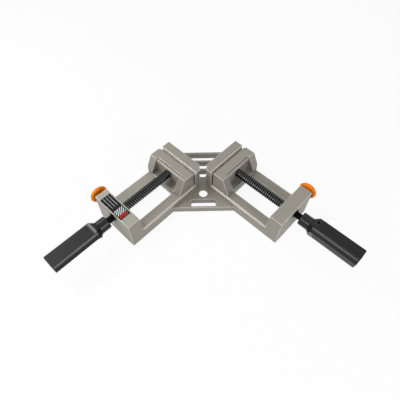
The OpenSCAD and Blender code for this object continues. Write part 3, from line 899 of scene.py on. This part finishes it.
class CLAMP_OT_keeper_screws(Operator):
    """Turns the keeper screws and cuts the hexagonal recess in their heads"""

    bl_idname = "clamp.keeper_screws"
    bl_label = "Keeper screws"

    def execute(self, context):
        sizes = context.scene.clamp_sizes
        head = sizes.keeper_head / 2
        shank = sizes.keeper_shank / 2
        height = sizes.keeper_head_height
        chamfer = 0.4 * MM
        key_depth = 0.6 * height
        rim = arc((chamfer, head - chamfer), chamfer, 180, 90, 4)[1:]
        steel = plated_steel("keeper_screw_steel", context.scene.clamp_finishes.steel)
        for side in SIDES:
            low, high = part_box(f"{side}_keeper_screws")
            over_all = high.z - low.z
            screw = turned("keeper_screw", [
                (0, 0), (0, head - chamfer), *rim, (height, head),
                (height, shank), (over_all - chamfer, shank), (over_all, shank - chamfer), (over_all, 0),
            ], steps=48)
            cut(screw, self.key_tool(sizes, key_depth))
            soft_shading(screw)
            upright = Matrix.Rotation(-math.pi / 2, 4, "Y")
            middle = (low + high) / 2
            across = Vector((1, 0, 0)) if side == "left" else Vector((0, 1, 0))
            reach = ((high - low).dot(across) - sizes.keeper_head) / 2
            pair = []
            for sign in (-1, 1):
                centre = middle + across * reach * sign
                stand = Matrix.Translation((centre.x, centre.y, low.z)) @ upright
                pair.append(place(twin(screw, f"{side}_keeper_pair"), stand))
            bpy.data.objects.remove(screw)
            piece = join(*pair)
            dress(piece, f"{side}_jaw", "plain_steel", [steel], f"{side}_keeper_screws")
        return {"FINISHED"}

    @staticmethod
    def key_tool(sizes, depth):
        """The punch of the hexagonal recess"""
        radius = sizes.keeper_key / math.sqrt(3)
        clear_selection()
        bpy.ops.mesh.primitive_cylinder_add(vertices=6, radius=radius, depth=2 * depth)
        return place(named("key_tool"), Matrix.Rotation(math.pi / 2, 4, "Y"))


class CLAMP_OT_springs(Operator):
    """Makes the return springs, which on the clamp shorten towards the inside of the block as the buttons
    are pressed; here they keep their shape
    """

    bl_idname = "clamp.springs"
    bl_label = "Return springs"

    def execute(self, context):
        wire = plated_steel("spring_wire", context.scene.clamp_finishes.wire)
        for side, inwards in PRESSED.items():
            node = f"{side}_release_spring"
            piece = merged_copy(node, f"{side}_return_spring")
            soft_shading(piece)
            dress(piece, "base", "spring_steel", [wire], node)
            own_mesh(piece)
        return {"FINISHED"}


class CLAMP_OT_small_steel(Operator):
    """Gives the pins, keepers and half nuts their steel"""

    bl_idname = "clamp.small_steel"
    bl_label = "Small steel parts"

    def execute(self, context):
        finishes = context.scene.clamp_finishes
        steel = plated_steel("plated_steel", finishes.steel)
        # The pins' black oxide is partly their finish and partly painted shade for the grip's pin hole
        blackened = plated_steel("blackened_pin_hole_shade", finishes.oxide)
        parts = {
            "jaw_keeper": steel,
            "journal_pin": steel,
            "handle_pin": blackened,
            "half_nut": steel,
            "stop_pin": steel,
        }
        for side in SIDES:
            for part, finish in parts.items():
                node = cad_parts[f"{side}_{part}"]
                node.data.materials.clear()
                node.data.materials.append(finish)
        return {"FINISHED"}


class CLAMP_OT_sticker(Operator):
    """Lays a plain sticker on the left end block"""

    bl_idname = "clamp.sticker"
    bl_label = "Sticker"

    def execute(self, context):
        sizes = context.scene.clamp_sizes
        block_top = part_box("base_casting")[1].z
        screw_low, screw_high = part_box("left_lead_screw")
        button_low, button_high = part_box("left_release_button")
        from_screw = 2.4 * MM
        from_button = 0.7 * MM
        along = (screw_low.x + screw_high.x) / 2 - from_screw
        across = (button_low.y + button_high.y) / 2 - from_button
        middle = Vector((along, across, block_top))
        stretch = Matrix.Diagonal((sizes.sticker_length, sizes.sticker_width, 1, 1))
        clear_selection()
        bpy.ops.mesh.primitive_plane_add(size=1)
        piece = named("end_block_sticker")
        place(piece, Matrix.Translation(middle) @ stretch)
        with editing(piece):
            bpy.ops.mesh.bevel(offset=sizes.sticker_corner, segments=5, affect="VERTICES")
            bpy.ops.mesh.select_all(action="SELECT")
            bpy.ops.mesh.extrude_region_move(
                TRANSFORM_OT_translate={"value": (0, 0, sizes.sticker_thickness)}
            )
            bpy.ops.mesh.select_all(action="SELECT")
            bpy.ops.mesh.normals_make_consistent(inside=False)
        finishes = context.scene.clamp_finishes
        vinyl = sticker_vinyl(finishes, middle, sizes.sticker_length, sizes.sticker_width)
        dress(piece, "base", "grip_plastic", [vinyl])
        return {"FINISHED"}


class CLAMP_OT_stage(Operator):
    """Sets up the camera, the pale floor and the soft studio light"""

    bl_idname = "clamp.stage"
    bl_label = "Stage"

    def execute(self, context):
        stage = context.scene.clamp_stage
        context.scene.view_settings.view_transform = "Standard"
        self.camera(context, stage)
        self.floor(stage)
        self.world(context, stage)
        self.lamp("left_box", heading=-70, elevation=27, size=0.5, power=3.7)
        self.lamp("left_rear_box", heading=-127, elevation=44, size=0.5, power=2.9)
        self.lamp("right_box", heading=70, elevation=20, size=0.5, power=1.4)
        self.lamp("right_rear_box", heading=115, elevation=60, size=0.5, power=0.7)
        self.lamp("left_spot", heading=-104, elevation=50, size=0.2, power=2.5)
        self.lamp("left_streak", heading=-37, elevation=43, size=0.34, power=2.4)
        self.lamp("right_streak", heading=41, elevation=26, size=0.4, power=4.0)
        return {"FINISHED"}

    @staticmethod
    def camera(context, stage):
        clear_selection()
        bpy.ops.object.camera_add(location=stage.camera_place)
        camera = named("view_camera")
        turn = Matrix.Rotation(stage.camera_heading, 4, "Z")
        tilt = Matrix.Rotation(math.pi / 2 + stage.camera_pitch, 4, "X")
        roll = Matrix.Rotation(stage.camera_roll, 4, "Z")
        camera.rotation_euler = (turn @ tilt @ roll).to_euler()
        camera.data.sensor_width = SENSOR_WIDTH
        camera.data.lens = stage.camera_lens
        camera.data.clip_start = 0.01
        camera.data.clip_end = 50
        context.scene.camera = camera

    @staticmethod
    def floor(stage):
        drop = 0.2 * MM
        clear_selection()
        bpy.ops.mesh.primitive_plane_add(size=stage.floor_size, location=(0, 0, -drop))
        floor = named("pale_floor")
        sheet = Finish("pale_floor")
        matte = sheet.make("BsdfDiffuse", {}, {"Color": (0.9, 0.9, 0.9, 1)})
        white = sheet.make("Emission", {}, {"Color": (1, 1, 1, 1), "Strength": 1.0})
        share = sheet.background_rays() * stage.floor_clear
        surface = sheet.make("MixShader", {}, {0: share, 1: matte, 2: white})
        sheet.make("OutputMaterial", {}, {"Surface": surface})
        floor.data.materials.append(sheet.material)

    @staticmethod
    def world(context, stage):
        world = bpy.data.worlds.new("studio")
        world.use_nodes = True
        context.scene.world = world
        sky = Nodes(world.node_tree)
        shown = sky.background_rays()
        strength = shown + (1 - shown) * stage.ambient
        background = sky.make("Background", {}, {"Color": (1, 1, 1, 1), "Strength": strength})
        sky.make("OutputWorld", {}, {"Surface": background})

    @staticmethod
    def lamp(name, heading, elevation, size, power):
        """A square soft box that faces the clamp; heading 0 is the camera's side, counted to its right"""
        camera_side = 45
        turn = math.radians(camera_side + heading)
        rise = math.radians(elevation)
        flat = math.cos(rise)
        towards = Vector((math.sin(turn) * flat, -math.cos(turn) * flat, math.sin(rise)))
        clear_selection()
        bpy.ops.object.light_add(type="AREA", location=LAMP_TARGET + towards * LAMP_DISTANCE)
        lamp = named(name)
        lamp.rotation_euler = (-towards).to_track_quat("-Z", "Y").to_euler()
        lamp.data.size = size
        lamp.data.energy = power


class CLAMP_PT_panel(Panel):
    bl_label = "Corner clamp"
    bl_idname = "CLAMP_PT_panel"
    bl_space_type = "VIEW_3D"
    bl_region_type = "UI"
    bl_category = "Clamp"

    def draw(self, context):
        for operator in OPERATORS:
            self.layout.operator(operator.bl_idname)
        for group in GROUPS:
            values = getattr(context.scene, group)
            box = self.layout.box()
            for name in values.bl_rna.properties.keys():
                if name not in ("rna_type", "name"):
                    box.prop(values, name)


GROUPS = {"clamp_sizes": ClampSizes, "clamp_finishes": ClampFinishes, "clamp_stage": ClampStage}
OPERATORS = (
    CLAMP_OT_stage,
    CLAMP_OT_castings,
    CLAMP_OT_lead_screws,
    CLAMP_OT_grips,
    CLAMP_OT_buttons,
    CLAMP_OT_keeper_screws,
    CLAMP_OT_springs,
    CLAMP_OT_small_steel,
    CLAMP_OT_sticker,
)


def register():
    for group in GROUPS.values():
        bpy.utils.register_class(group)
    for name, group in GROUPS.items():
        setattr(bpy.types.Scene, name, PointerProperty(type=group))
    for operator in OPERATORS:
        bpy.utils.register_class(operator)
    bpy.utils.register_class(CLAMP_PT_panel)


def unregister():
    bpy.utils.unregister_class(CLAMP_PT_panel)
    for operator in reversed(OPERATORS):
        bpy.utils.unregister_class(operator)
    for name in GROUPS:
        delattr(bpy.types.Scene, name)
    for group in reversed(GROUPS.values()):
        bpy.utils.unregister_class(group)


def main():
    register()
    bpy.ops.clamp.stage()
    bpy.ops.clamp.castings()
    bpy.ops.clamp.lead_screws()
    bpy.ops.clamp.grips()
    bpy.ops.clamp.buttons()
    bpy.ops.clamp.keeper_screws()
    bpy.ops.clamp.springs()
    bpy.ops.clamp.small_steel()
    bpy.ops.clamp.sticker()
    clear_selection()


if __name__ == "__main__":
    main()
